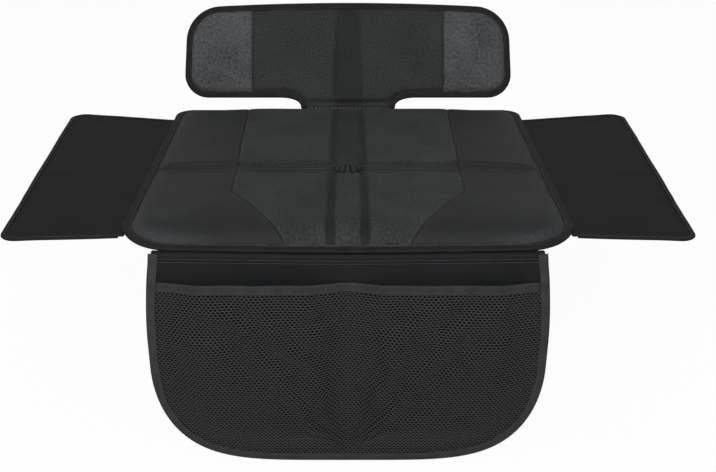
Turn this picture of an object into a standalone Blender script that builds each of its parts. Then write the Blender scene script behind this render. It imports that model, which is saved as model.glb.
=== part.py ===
"""Car seat protector mat: a padded mat that lies on a car's seat under a child seat.

A foam pad covers the cushion, a low panel stands against the backrest, a thin wing spreads
to each side, and a flap with two net pockets hangs down in front.

Metres, +Z up, +Y towards the backrest. The origin is the middle of the pad's underside.
"""

from math import cos, hypot, pi, radians, sin

import bmesh
import bpy
from mathutils import Vector
from mathutils.geometry import delaunay_2d_cdt, intersect_point_line

# Cloth, tape and the room left between two layers
CLOTH = 0.0010
TAPE = 0.0005
GAP = 0.0003

# Pad, seen from above
PAD_FRONT_WIDTH = 0.477
PAD_BACK_WIDTH = 0.494
PAD_DEPTH = 0.459
PAD_FRONT_RADIUS = 0.062
PAD_BACK_RADIUS = 0.024
PAD_TAPE_WIDTH = 0.0095

# Pad, seen from the side
PAD_HEIGHT = 0.021
EDGE_CHANNEL = 0.003
EDGE_ROLL = 0.024
SIDE_SLOPE = 0.050
FRONT_SLOPE = 0.070
BACK_SLOPE = 0.018
UNDERSIDE_STEP = 0.003

# Seams and pressed channels of the pad
SEAM_BACK_X = 0.142
SEAM_TURN_X = 0.128
SEAM_TURN_Y = -0.1205
SEAM_FRONT_X = 0.057
HIP_Y = -0.1445
GROOVE_X = 0.018
GROOVE_WIDTH = 0.011
GROOVE_DEPTH = 0.0040
STRIP_DEPTH = 0.0022
FOLD_MIDDLE_Y = -0.043
FOLD_WIDTH = 0.038
FOLD_SHOULDER = 0.006
FOLD_DEPTH = 0.0045

# Button where the channels cross
BUTTON_RADIUS = 0.016
BUTTON_HEIGHT = 0.008
BUTTON_PLEATS = 12
BUTTON_PUCKER = 0.06
BUTTON_RIM = 0.2
BUTTON_CURVE = radians(72)

# Wings
WING_FRONT_Y = -0.2105
WING_BACK_Y = 0.2235
WING_FRONT_REACH = 0.361
WING_BACK_REACH = 0.399
WING_FRONT_FLARE = 0.010
WING_BACK_FLARE = 0.031
WING_RADIUS = 0.018
WING_TAPE_WIDTH = 0.0055
TUCK = 0.0085

# Panel against the backrest
LEAN = radians(25)
BACK_WIDTH = 0.476
BACK_TAPER = 0.04
BACK_BOTTOM = 0.019
BACK_TOP = 0.153
BACK_CROWN = 0.0048
BACK_BOTTOM_RADIUS = 0.034
BACK_TOP_RADIUS = 0.052
NECK_WIDTH = 0.1375
NECK_FILLET_WIDTH = 0.0285
NECK_FILLET_HEIGHT = 0.0125
NECK_BEND = 0.0030
NECK_START = 0.0035
BACK_PAD = 0.006
BACK_SEAM_X = 0.139
BACK_CHANNEL_WIDTH = 0.042
BACK_CHANNEL_DEPTH = 0.0028
BACK_TAPE_WIDTH = 0.0105
BACK_ROLL = 0.012

# Flap and its pockets
FLAP_TOP_WIDTH = 0.404
FLAP_WIDTH = 0.422
FLAP_SHOULDER = 0.105
FLAP_STRAIGHT = 0.135
FLAP_DROP = 0.256
FLAP_ROUNDNESS = 4.7
FLAP_BEND = 0.0025
FLAP_LEAN = 0.010  # the foot stands this share of the drop further forward than the top
FLAP_TAPE_WIDTH = 0.010
FLAP_TAPE_START = 0.004
NET_TOP = 0.033
NET = 0.0008
NET_PITCH = 0.027
NET_STRAND = 0.0060
MOUTH_DEPTH = 0.0075
POCKET_DEPTH = 0.012
POCKET_SLACK = 0.060
POCKET_ROLL = 0.045
HEM_HEIGHT = 0.010

# How finely round stretches are cut, and where across a rolled edge its curve is cut
ARC_STEPS = 6
BOTTOM_STEPS = 12
BUTTON_RINGS = 4
ROLL_CUTS = (1.0, 0.42, 0.15, 0.0)
TAPE_SOFTNESS = 0.3

# Levels of the layers that are sewn together at the pad's rim, from the seat upwards
WING_LEVEL = TAPE + GAP
RIM_LEVEL = WING_LEVEL + CLOTH + GAP
BASE_RIM_LEVEL = RIM_LEVEL + TAPE + GAP
COVER_RIM_LEVEL = BASE_RIM_LEVEL + CLOTH + GAP
PAD_FRONT_Y = -PAD_DEPTH / 2
PAD_BACK_Y = PAD_DEPTH / 2
TAPE_INSET = TAPE + GAP

NEAR_BLACK = (0.024, 0.025, 0.027)
SIDE_GREY = (0.034, 0.034, 0.036)
TAPE_GREY = (0.040, 0.039, 0.038)
NET_BLACK = (0.016, 0.016, 0.017)
GRIP_BLACK = (0.020, 0.020, 0.021)
FOAM_GREY = (0.180, 0.185, 0.190)


def clear_scene():
    for thing in list(bpy.data.objects):
        bpy.data.objects.remove(thing, do_unlink=True)


def plain_material(name, colour, roughness):
    material = bpy.data.materials.new(name)
    material.use_nodes = True
    shader = material.node_tree.nodes["Principled BSDF"]
    shader.inputs["Base Color"].default_value = (*colour, 1)
    shader.inputs["Roughness"].default_value = roughness
    shader.inputs["Metallic"].default_value = 0
    return material


def add_solid(name, points, faces, colour, roughness=0.85):
    """Make one closed object with its faces pointing out."""
    mesh = bpy.data.meshes.new(name)
    mesh.from_pydata([tuple(point) for point in points], [], faces)
    shape = bmesh.new()
    shape.from_mesh(mesh)
    bmesh.ops.recalc_face_normals(shape, faces=shape.faces)
    if shape.calc_volume(signed=True) < 0:
        bmesh.ops.reverse_faces(shape, faces=shape.faces)
    shape.to_mesh(mesh)
    shape.free()
    solid = bpy.data.objects.new(name, mesh)
    bpy.context.scene.collection.objects.link(solid)
    mesh.materials.append(plain_material(name, colour, roughness))
    return solid


def smoothstep(value):
    t = min(max(value, 0.0), 1.0)
    return t * t * (3 - 2 * t)


def between(start, end, t):
    return start + (end - start) * t


def rolled_rise(share):
    """How far a rolled edge has risen, a share of the way in: steep first, then level."""
    return (1 - (1 - min(share, 1.0)) ** 2) ** 0.5


def skin_of_rows(name, upper, lower, colour, roughness=0.85):
    """Close two matching sheets of points, given as rows, into one solid."""
    rows, columns = len(upper), len(upper[0])
    points = [p for row in upper for p in row] + [p for row in lower for p in row]
    faces = []

    def index(side, row, column):
        return (side * rows + row) * columns + column

    for row in range(rows - 1):
        for column in range(columns - 1):
            for side in (0, 1):
                corner = index(side, row, column)
                across = index(side, row, column + 1)
                beyond = index(side, row + 1, column)
                far = index(side, row + 1, column + 1)
                faces += [[corner, across, far], [corner, far, beyond]]
    rim = [(0, column) for column in range(columns)]
    rim += [(row, columns - 1) for row in range(1, rows)]
    rim += [(rows - 1, column) for column in range(columns - 2, -1, -1)]
    rim += [(row, 0) for row in range(rows - 2, 0, -1)]
    for here, there in zip(rim, rim[1:] + rim[:1]):
        faces.append([index(0, *here), index(0, *there), index(1, *there), index(1, *here)])
    return add_solid(name, points, faces, colour, roughness)


def skin_of_rings(name, rings, colour, roughness=0.85):
    """Close a stack of matching rings of points, with a flat face on the first and last."""
    count = len(rings[0])
    points = [point for ring in rings for point in ring]
    faces = [list(range(count)), list(range((len(rings) - 1) * count, len(rings) * count))]
    for ring in range(len(rings) - 1):
        for i in range(count):
            j = (i + 1) % count
            faces.append([
                ring * count + i,
                ring * count + j,
                (ring + 1) * count + j,
                (ring + 1) * count + i,
            ])
    return add_solid(name, points, faces, colour, roughness)


def tape_section(width, slot):
    """A tape folded round an edge: points as (inward from the fold, up), lowest leaf at 0."""
    total = slot + 2 * TAPE
    soft = total * TAPE_SOFTNESS
    return [
        (width, 0),
        (width, TAPE),
        (TAPE, TAPE),
        (TAPE, TAPE + slot),
        (width, TAPE + slot),
        (width, total),
        (soft, total),
        (0, total - soft),
        (0, soft),
        (soft, 0),
    ]


def inward_directions(path, closed):
    """Steps to the left of a flat path that keep each point level with both its edges."""
    count = len(path)
    normals = []
    for i in range(count if closed else count - 1):
        along = Vector(path[(i + 1) % count]) - Vector(path[i])
        normals.append(Vector((-along.y, along.x)).normalized())
    if not closed:
        normals = [normals[0]] + normals + [normals[-1]]
    pairs = zip(normals[-1:] + normals, normals) if closed else zip(normals, normals[1:])
    return [(a + b) / (1 + a.dot(b)) for a, b in pairs]


def drawn_in(path, inset, closed=False):
    """A flat path moved to its left by inset."""
    steps = inward_directions(path, closed)
    return [(x + step.x * inset, y + step.y * inset) for (x, y), step in zip(path, steps)]


def sweep(name, path, section, place, colour, closed=False):
    """Carry a section along a flat path that runs anticlockwise round what it binds."""
    points = []
    for point, inward in zip(path, inward_directions(path, closed)):
        points += [place(point, inward, depth, up) for depth, up in section]
    count, size = len(path), len(section)
    faces = []
    for i in range(count if closed else count - 1):
        j = (i + 1) % count
        for k in range(size):
            n = (k + 1) % size
            faces.append([i * size + k, i * size + n, j * size + n, j * size + k])
    if not closed:
        faces.append(list(range(size)))
        faces.append(list(range((count - 1) * size, count * size)))
    return add_solid(name, points, faces, colour, roughness=0.75)


def flat_on(place):
    """Bind a sheet's edge: the tape reaches inward in the sheet and its leaves lie over it."""
    def fold(point, inward, depth, up):
        return place(point[0] + inward[0] * depth, point[1] + inward[1] * depth, up)
    return fold


def boolean(solid, cutter, operation):
    """Cut a solid with another object, which is kept as a hidden guide."""
    cutter.hide_render = True
    cutter.display_type = "WIRE"
    change = solid.modifiers.new(cutter.name, "BOOLEAN")
    change.operation = operation
    change.object = cutter
    return solid


def quarter(middle, radii, start, steps):
    """Points of a quarter of an ellipse, anticlockwise from start, an angle."""
    points = []
    for i in range(steps + 1):
        turn = start + i * pi / 2 / steps
        points.append((middle[0] + radii[0] * cos(turn), middle[1] + radii[1] * sin(turn)))
    return points


def mirrored(right_side):
    """Complete an outline from its right side, given from the front middle to the back."""
    return right_side + [(-x, y) for x, y in reversed(right_side)]


# Pad

def pad_half_width(y):
    share = (y - PAD_FRONT_Y) / PAD_DEPTH
    return between(PAD_FRONT_WIDTH, PAD_BACK_WIDTH, share) / 2


def pad_side(inset=0.0):
    """Right side of the pad's outline, drawn in by inset, from its front edge to its back."""
    side = []
    for end, radius, start in ((-1, PAD_FRONT_RADIUS, -pi / 2), (1, PAD_BACK_RADIUS, 0)):
        middle_y = end * (PAD_DEPTH / 2 - radius)
        middle = (pad_half_width(middle_y) - radius, middle_y)
        side += quarter(middle, (radius - inset, radius - inset), start, ARC_STEPS)
    return side


def pad_reach(y, inset):
    """How far the drawn-in outline lies from the pad's middle at y."""
    side = pad_side(inset)
    for here, there in zip(side, side[1:]):
        if here[1] <= y <= there[1]:
            return between(here[0], there[0], (y - here[1]) / (there[1] - here[1]))
    return side[0][0] if y < 0 else side[-1][0]


def pad_edge_distance(x, y):
    """How far a point lies inside the pad's outline."""
    radius = PAD_FRONT_RADIUS if y < 0 else PAD_BACK_RADIUS
    from_side = pad_half_width(y) - abs(x)
    from_end = min(y - PAD_FRONT_Y, PAD_BACK_Y - y)
    if from_side < radius and from_end < radius:
        return radius - hypot(radius - from_side, radius - from_end)
    return min(from_side, from_end)


def seam_x(y):
    """The seam between the middle cover and a side cover: straight, then across to the front."""
    if y > SEAM_TURN_Y:
        share = (y - SEAM_TURN_Y) / (PAD_BACK_Y - SEAM_TURN_Y)
        return between(SEAM_TURN_X, SEAM_BACK_X, share)
    share = (y - PAD_FRONT_Y) / (SEAM_TURN_Y - PAD_FRONT_Y)
    return between(SEAM_FRONT_X, SEAM_TURN_X, share)


def roll_start():
    """Inside the outline, past the tape and a narrow channel, the pad begins to rise."""
    return PAD_TAPE_WIDTH + EDGE_CHANNEL


def pad_top(x, y):
    """Height of the cover's outer face: a hipped form with rolled edges and pressed channels."""
    across = abs(x)
    distance = pad_edge_distance(x, y) - roll_start()
    rim = COVER_RIM_LEVEL + CLOTH
    if distance <= 0:
        return rim
    side_drop = SIDE_SLOPE * max(0.0, across - SEAM_TURN_X)
    front_drop = FRONT_SLOPE * max(0.0, HIP_Y - y)
    front_drop *= smoothstep((across - seam_x(y)) / SEAM_FRONT_X + 1)
    crown = PAD_HEIGHT - max(side_drop, front_drop) - BACK_SLOPE * max(0.0, y - FOLD_MIDDLE_Y)
    from_groove = abs(across - GROOVE_X) / (GROOVE_WIDTH / 2)
    groove = GROOVE_DEPTH * (0.5 + 0.5 * cos(pi * min(from_groove, 1.0)))
    if y > FOLD_MIDDLE_Y and across < GROOVE_X:
        groove = max(groove, STRIP_DEPTH)
    from_fold = (abs(y - FOLD_MIDDLE_Y) - FOLD_WIDTH / 2) / FOLD_SHOULDER
    fold = FOLD_DEPTH * (1 - smoothstep(from_fold))
    crown -= max(groove, fold)
    return rim + (crown - rim) * rolled_rise(distance / EDGE_ROLL)


def pad_rows():
    """Places along Y where the pad's cross-sections are taken, from front to back."""
    rows = [y for x, y in pad_side(TAPE_INSET)]
    rows += [PAD_FRONT_Y + roll_start(), PAD_BACK_Y - roll_start()]
    fold_half = FOLD_WIDTH / 2
    for edge in (fold_half, fold_half + FOLD_SHOULDER):
        rows += [FOLD_MIDDLE_Y - edge, FOLD_MIDDLE_Y + edge]
    start = FOLD_MIDDLE_Y + fold_half + FOLD_SHOULDER
    before = FOLD_MIDDLE_Y - fold_half - FOLD_SHOULDER
    rows += [HIP_Y, SEAM_TURN_Y, between(SEAM_TURN_Y, before, 0.5)]
    end = PAD_BACK_Y - roll_start() - EDGE_ROLL
    rows += [between(start, end, i / 3) for i in (1, 2, 3)]
    return sorted(rows)


def middle_stations(limit):
    """Places across the middle cover, with one on each side of each channel."""
    half = GROOVE_WIDTH / 2
    right = [GROOVE_X - half, GROOVE_X, GROOVE_X + half, between(GROOVE_X + half, limit, 0.5)]
    right.append(limit)
    return [-x for x in reversed(right)] + right


def side_stations(y):
    """Places across the right side cover, from its seam to the rim."""
    seam, reach = seam_x(y), pad_reach(y, TAPE_INSET)
    rolled = [pad_half_width(y) - roll_start() - EDGE_ROLL * share for share in ROLL_CUTS]
    wide = [between(seam, rolled[0], 0.5)] + rolled + [pad_half_width(y) - TAPE_INSET]
    scale = (reach - seam) / (wide[-1] - seam)
    return [seam + GAP / 2] + [seam + (x - seam) * scale for x in wide]


def pad_sheet(name, stations, colour, roughness):
    """A cover of the pad, lying on its top."""
    upper = [[(x, y, pad_top(x, y)) for x in stations(y)] for y in pad_rows()]
    lower = [[(x, y, z - CLOTH) for x, y, z in row] for row in upper]
    return skin_of_rows(name, upper, lower, colour, roughness)


def make_pad_covers():
    pad_sheet("pad_centre_cover", lambda y: middle_stations(seam_x(y) - GAP / 2), NEAR_BLACK, 0.85)
    pad_sheet("pad_left_cover", lambda y: [-x for x in reversed(side_stations(y))], SIDE_GREY, 0.6)
    pad_sheet("pad_right_cover", side_stations, SIDE_GREY, 0.6)


def make_pad_foam():
    """One slab of foam that fills the covers, with their channels pressed into it."""
    upper, lower = [], []
    for y in pad_rows():
        side = side_stations(y)[1:]
        across = [-x for x in reversed(side)] + middle_stations(seam_x(y)) + side
        upper.append([(x, y, pad_top(x, y) - CLOTH - GAP) for x in across])
        lower.append([(x, y, CLOTH + GAP) for x in across])
    foam = skin_of_rows("pad_foam", upper, lower, FOAM_GREY, 0.9)
    outline = mirrored(pad_side(PAD_TAPE_WIDTH + UNDERSIDE_STEP + 2 * GAP))
    block = [[(x, y, z) for x, y in outline] for z in (0, 2 * PAD_HEIGHT)]
    return boolean(foam, skin_of_rings("foam_outline", block, FOAM_GREY), "INTERSECT")


def make_pad_base():
    """The grip sheet under the foam. Its rim is raised to where the layers are sewn."""
    flat_edge = PAD_TAPE_WIDTH + GAP
    rings = []
    levels = (
        (TAPE_INSET, BASE_RIM_LEVEL),
        (flat_edge, BASE_RIM_LEVEL),
        (flat_edge + UNDERSIDE_STEP, 0),
    )
    for inset, level in reversed(levels):
        rings.append([(x, y, level) for x, y in mirrored(pad_side(inset))])
    for inset, level in levels:
        rings.append([(x, y, level + CLOTH) for x, y in mirrored(pad_side(inset))])
    return skin_of_rings("pad_base_sheet", rings, GRIP_BLACK, 0.7)


def make_pad_binding():
    section = tape_section(PAD_TAPE_WIDTH, 2 * CLOTH + 3 * GAP)

    def place(x, y, up):
        return (x, y, RIM_LEVEL + up)

    outline = mirrored(pad_side())
    return sweep("pad_binding", outline, section, flat_on(place), TAPE_GREY, closed=True)


def make_button():
    """A cloth-covered button with a puckered edge, sewn down where the channels cross."""
    seat = PAD_HEIGHT - FOLD_DEPTH + GAP
    rings = []
    for step in range(BUTTON_RINGS + 1):
        angle = step / BUTTON_RINGS * BUTTON_CURVE
        ring = []
        for i in range(2 * BUTTON_PLEATS):
            turn = i * pi / BUTTON_PLEATS
            pucker = 1 - BUTTON_PUCKER * (i % 2) * cos(angle)
            radius = BUTTON_RADIUS * cos(angle) * pucker
            height = BUTTON_HEIGHT * between(BUTTON_RIM, 1, sin(angle)) if step else 0
            ring.append((radius * cos(turn), FOLD_MIDDLE_Y + radius * sin(turn), seat + height))
        rings.append(ring)
    return skin_of_rings("centre_button", rings, NEAR_BLACK, 0.8)


# Wings

def wing_outer_x(y):
    share = (y - WING_FRONT_Y) / (WING_BACK_Y - WING_FRONT_Y)
    return between(WING_FRONT_REACH, WING_BACK_REACH, share)


def wing_edges():
    """Front and back corners of the right wing, at the pad and at its outer edge."""
    front_y = WING_FRONT_Y + WING_FRONT_FLARE
    back_y = WING_BACK_Y - WING_BACK_FLARE
    return (
        (pad_half_width(front_y), front_y),
        (wing_outer_x(WING_FRONT_Y), WING_FRONT_Y),
        (wing_outer_x(WING_BACK_Y), WING_BACK_Y),
        (pad_half_width(back_y), back_y),
    )


def rounded_corner(before, corner, after, radius, steps=ARC_STEPS):
    """Points of an arc that rounds off a corner between two straight runs."""
    corner = Vector(corner)
    to_before = (Vector(before) - corner).normalized()
    to_after = (Vector(after) - corner).normalized()
    half = to_before.angle(to_after) / 2
    middle = corner + (to_before + to_after).normalized() * (radius / sin(half))
    start = corner + to_before * (radius * cos(half) / sin(half)) - middle
    sweep_angle = pi - 2 * half
    points = []
    for i in range(steps + 1):
        turn = sweep_angle * i / steps
        points.append((
            middle.x + start.x * cos(turn) - start.y * sin(turn),
            middle.y + start.x * sin(turn) + start.y * cos(turn),
        ))
    return points


def wing_outline(inset):
    """The right wing's three free edges, drawn in by inset, from its front to its back."""
    front_in, front_out, back_out, back_in = [Vector(corner) for corner in wing_edges()]
    free = [front_in, front_out, back_out, back_in]
    path = [free[0]]
    path += rounded_corner(free[0], free[1], free[2], WING_RADIUS)
    path += rounded_corner(free[1], free[2], free[3], WING_RADIUS)
    path.append(free[3])
    return drawn_in(path, inset)


def make_wing(side, sign):
    path = wing_outline(TAPE_INSET)
    tucked = [(path[0][0] - TUCK, path[0][1])] + path + [(path[-1][0] - TUCK, path[-1][1])]
    rings = [
        [(sign * x, y, WING_LEVEL + up) for x, y in tucked]
        for up in (0, CLOTH)
    ]
    skin_of_rings(side + "_wing", rings, NEAR_BLACK, 0.85)
    bound = wing_outline(0)
    bound[0] = (bound[0][0] + 2 * GAP, bound[0][1])
    bound[-1] = (bound[-1][0] + 2 * GAP, bound[-1][1])

    def place(x, y, up):
        return (sign * x, y, up)

    section = tape_section(WING_TAPE_WIDTH, CLOTH + 2 * GAP)
    sweep(side + "_wing_binding", bound, section, flat_on(place), TAPE_GREY)


# Panel against the backrest

def back_neck():
    """The rear sheet's middle line, (y, z), from its tuck under the pad to the leaning plane."""
    level = WING_LEVEL + CLOTH / 2
    path = [(PAD_BACK_Y - TUCK, level)]
    for i in range(ARC_STEPS + 1):
        turn = i / ARC_STEPS * (pi / 2 - LEAN)
        y = PAD_BACK_Y + 3 * GAP + NECK_BEND * sin(turn)
        path.append((y, level + NECK_BEND * (1 - cos(turn))))
    return path


def on_back(x, up, out=0.0):
    """A point of the leaning panel: across, up its slope, and out from the rear sheet's back."""
    foot_y, foot_z = back_neck()[-1]
    out -= CLOTH / 2
    return (
        x,
        foot_y + up * sin(LEAN) - out * cos(LEAN),
        foot_z + up * cos(LEAN) + out * sin(LEAN),
    )


def back_outline():
    """The panel's outline (across, up), from its neck up the right side and down the left."""
    half, half_neck = BACK_WIDTH / 2, NECK_WIDTH / 2
    hollow = (half_neck + NECK_FILLET_WIDTH, BACK_BOTTOM - NECK_FILLET_HEIGHT)
    low = (half - BACK_BOTTOM_RADIUS, BACK_BOTTOM + BACK_BOTTOM_RADIUS)
    high_up = BACK_TOP - BACK_TOP_RADIUS
    high = (half - BACK_TAPER * (high_up - low[1]) - BACK_TOP_RADIUS, high_up)
    right = [(half_neck, NECK_START)]
    right += reversed(quarter(hollow, (NECK_FILLET_WIDTH, NECK_FILLET_HEIGHT), pi / 2, ARC_STEPS))
    right += quarter(low, (BACK_BOTTOM_RADIUS, BACK_BOTTOM_RADIUS), -pi / 2, ARC_STEPS)
    right += quarter(high, (BACK_TOP_RADIUS, BACK_TOP_RADIUS), 0, ARC_STEPS + 1)
    right += [(high[0] * share, BACK_TOP + BACK_CROWN * (1 - share**2)) for share in (0.65, 0.3)]
    return mirrored(right)


def make_back_rear_sheet():
    """The grip sheet behind the panel. Its neck bends forward and is sewn under the pad."""
    upper, lower = [], []
    half_neck = NECK_WIDTH / 2 - TAPE_INSET
    path = back_neck()
    for i, (y, z) in enumerate(path):
        turn = max(i - 1, 0) / ARC_STEPS * (pi / 2 - LEAN)
        for side, rows in ((1, upper), (-1, lower)):
            out = side * CLOTH / 2
            bent = (y - out * sin(turn), z + out * cos(turn))
            rows.append([(-half_neck, *bent), (half_neck, *bent)])
    outline = drawn_in(back_outline(), TAPE_INSET, closed=True)
    for x, up in outline[: len(outline) // 2]:
        upper.append([on_back(-x, up, CLOTH), on_back(x, up, CLOTH)])
        lower.append([on_back(-x, up), on_back(x, up)])
    return skin_of_rows("back_rear_sheet", upper, lower, GRIP_BLACK, 0.7)


def back_pillow(name, start, end, colour, roughness):
    """The part between start and end, across, of the panel's padded front with rolled edges."""
    flat_edge = BACK_TAPE_WIDTH + GAP
    floor = CLOTH + GAP
    levels = [(TAPE_INSET, floor), (TAPE_INSET, floor + CLOTH)]
    for share in reversed(ROLL_CUTS):
        rise = between(CLOTH, BACK_PAD, rolled_rise(share))
        levels.append((flat_edge + BACK_ROLL * share, floor + rise))
    rings = []
    for inset, level in levels:
        outline = drawn_in(back_outline(), inset, closed=True)
        rings.append([on_back(x, up, level) for x, up in outline])
    pillow = skin_of_rings(name, rings, colour, roughness)
    low, high = -BACK_TOP, 2 * BACK_TOP
    corners = ((start, low), (end, low), (end, high), (start, high))
    block = [[on_back(x, up, out) for x, up in corners] for out in (-BACK_PAD, 3 * BACK_PAD)]
    return boolean(pillow, skin_of_rings(name + "_extent", block, colour), "INTERSECT")


def make_back_panels():
    seam = GAP / 2
    half = BACK_WIDTH / 2
    inner, outer = BACK_SEAM_X - seam, BACK_SEAM_X + seam
    centre = back_pillow("back_centre_panel", -inner, inner, NEAR_BLACK, 0.85)
    back_pillow("back_left_panel", -half, -outer, SIDE_GREY, 0.5)
    back_pillow("back_right_panel", outer, half, SIDE_GREY, 0.5)
    surface = CLOTH + GAP + BACK_PAD
    channel = (
        (-BACK_CHANNEL_WIDTH / 2, surface + GAP),
        (-BACK_CHANNEL_WIDTH / 4, surface - BACK_CHANNEL_DEPTH),
        (BACK_CHANNEL_WIDTH / 4, surface - BACK_CHANNEL_DEPTH),
        (BACK_CHANNEL_WIDTH / 2, surface + GAP),
    )
    rings = [[on_back(x, up, out) for x, out in channel] for up in (-BACK_TOP, 2 * BACK_TOP)]
    boolean(centre, skin_of_rings("back_channel", rings, NEAR_BLACK), "DIFFERENCE")


def make_back_binding():
    section = tape_section(BACK_TAPE_WIDTH, 2 * CLOTH + 3 * GAP)

    def place(x, up, out):
        return on_back(x, up, out - TAPE - GAP)

    return sweep("back_binding", back_outline(), section, flat_on(place), TAPE_GREY)


# Flap and its pockets

def flap_front_y():
    return PAD_FRONT_Y - FLAP_BEND - CLOTH / 2


def on_flap(x, drop, out=0.0):
    """A point of the hanging flap: across, down, and out from its cloth's front face."""
    y = flap_front_y() - FLAP_LEAN * drop - out
    return (x, y, WING_LEVEL + CLOTH / 2 - FLAP_BEND - drop)


def flap_half_width(drop):
    """The flap widens to its shoulder, hangs straight, and ends in a rounded foot."""
    half = FLAP_WIDTH / 2
    if drop < FLAP_SHOULDER:
        return between(FLAP_TOP_WIDTH / 2, half, smoothstep(0.5 + drop / FLAP_SHOULDER / 2) * 2 - 1)
    if drop < FLAP_STRAIGHT:
        return half
    share = min((drop - FLAP_STRAIGHT) / (FLAP_DROP - FLAP_STRAIGHT), 1.0)
    return half * (1 - share**2) ** (1 / FLAP_ROUNDNESS)


def hem_foot():
    return NET_TOP + HEM_HEIGHT


def flap_outline(start):
    """The flap's outline (across, height), from its left edge at start round to its right."""
    widening = [NET_TOP, hem_foot(), between(hem_foot(), FLAP_SHOULDER, 0.5), FLAP_SHOULDER]
    left = [(flap_half_width(drop), drop) for drop in widening if drop > start]
    left = [(flap_half_width(start), start)] + left + [(FLAP_WIDTH / 2, FLAP_STRAIGHT)]
    for i in range(1, BOTTOM_STEPS):
        turn = i * pi / 2 / BOTTOM_STEPS
        left.append((
            FLAP_WIDTH / 2 * cos(turn) ** (2 / FLAP_ROUNDNESS),
            between(FLAP_STRAIGHT, FLAP_DROP, sin(turn)),
        ))
    return [(-x, -drop) for x, drop in left] + [(x, -drop) for x, drop in reversed(left)]


def make_flap_panel():
    """The flap's cloth. Its top edge bends back and is sewn under the pad's front rim."""
    level = WING_LEVEL + CLOTH / 2
    half_top = FLAP_TOP_WIDTH / 2 - TAPE_INSET
    path = [(PAD_FRONT_Y + TUCK, level, 0.0)]
    for i in range(ARC_STEPS + 1):
        turn = i * pi / 2 / ARC_STEPS
        y = PAD_FRONT_Y - FLAP_BEND * sin(turn)
        path.append((y, level - FLAP_BEND * (1 - cos(turn)), turn))
    front, rear = [], []
    for y, z, turn in path:
        for side, rows in ((1, front), (-1, rear)):
            out = side * CLOTH / 2
            bent = (y - out * sin(turn), z + out * cos(turn))
            rows.append([(-half_top, *bent), (half_top, *bent)])
    outline = drawn_in(flap_outline(FLAP_TAPE_START), TAPE_INSET)
    for x, height in outline[: len(outline) // 2]:
        front.append([on_flap(x, -height), on_flap(-x, -height)])
        rear.append([on_flap(x, -height, -CLOTH), on_flap(-x, -height, -CLOTH)])
    return skin_of_rows("flap_panel", front, rear, NEAR_BLACK, 0.85)


def net_standoff():
    """Room between the flap and the net where they are sewn, for the hem's rear leaf."""
    return TAPE + 2 * GAP


def make_flap_binding():
    section = tape_section(FLAP_TAPE_WIDTH, CLOTH + net_standoff() + NET + 2 * GAP)

    def place(x, height, out):
        return on_flap(x, -height, out - CLOTH - GAP - TAPE)

    outline = flap_outline(FLAP_TAPE_START)
    return sweep("flap_binding", outline, section, flat_on(place), TAPE_GREY)


def flap_edge_distance(x, drop):
    """How far a point of the flap lies from its bound edge."""
    point = Vector((x, -drop))
    outline = [Vector(corner) for corner in flap_outline(NET_TOP)]
    nearest = FLAP_WIDTH
    for here, there in zip(outline, outline[1:]):
        share = intersect_point_line(point, here, there)[1]
        foot = here.lerp(there, min(max(share, 0.0), 1.0))
        nearest = min(nearest, (point - foot).length)
    return nearest


def pocket_bulge(x, drop):
    """How far the net stands out: sewn at the sides, foot and middle, and taut at the hem."""
    drop = max(drop, hem_foot())
    room = min(abs(x), flap_edge_distance(x, drop) - FLAP_TAPE_WIDTH - GAP)
    depth = between(MOUTH_DEPTH, POCKET_DEPTH, smoothstep((drop - hem_foot()) / POCKET_SLACK))
    return depth * smoothstep(room / POCKET_ROLL)


def mouth_stations():
    """Places across the mouth of the right pocket, from its sewn side to the middle seam."""
    end = flap_half_width(NET_TOP) - FLAP_TAPE_WIDTH - GAP
    steps = round(end / NET_PITCH)
    return [between(end, 0, i / steps) for i in range(steps)] + [GAP / 2]


def net_lines():
    """The right net's outline, and the lines inside it where it is sewn or the hem ends."""
    edge = [point for point in drawn_in(flap_outline(NET_TOP), TAPE_INSET) if point[0] > 0]
    edge[-1] = (edge[-1][0], -NET_TOP)
    mouth = [(x, -NET_TOP) for x in mouth_stations()]
    hem = [(x, -hem_foot()) for x in mouth_stations()]
    sewn = drawn_in(flap_outline(NET_TOP), FLAP_TAPE_WIDTH + GAP)
    sewn = [(GAP / 2, min(height for x, height in sewn))] + [p for p in sewn if p[0] > 0]
    sewn[-2:] = [hem[0], mouth[0]]
    steps = round((FLAP_DROP - NET_TOP) / NET_PITCH)
    seam = [(GAP / 2, between(-hem_foot(), sewn[0][1], i / steps)) for i in range(steps + 1)]
    return edge + mouth + seam + [(GAP / 2, edge[0][1])], [sewn, hem]


def net_holes():
    """Six-sided holes in staggered rows, each clear of the tapes and of the middle seam."""
    radius = (NET_PITCH - NET_STRAND) / 3**0.5
    margin = radius + NET_STRAND / 2
    rows = int((FLAP_DROP - NET_TOP) / (NET_PITCH * 3**0.5 / 2))
    columns = int(FLAP_WIDTH / 2 / NET_PITCH) + 1
    holes = []
    for row in range(rows):
        drop = hem_foot() + margin + row * NET_PITCH * 3**0.5 / 2
        for column in range(columns):
            x = margin + (column + 0.5 * (row % 2)) * NET_PITCH
            if flap_edge_distance(x, drop) > FLAP_TAPE_WIDTH + margin:
                corners = [k * pi / 3 for k in range(6)]
                holes.append([(x + radius * sin(k), -drop + radius * cos(k)) for k in corners])
    return holes


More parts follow.
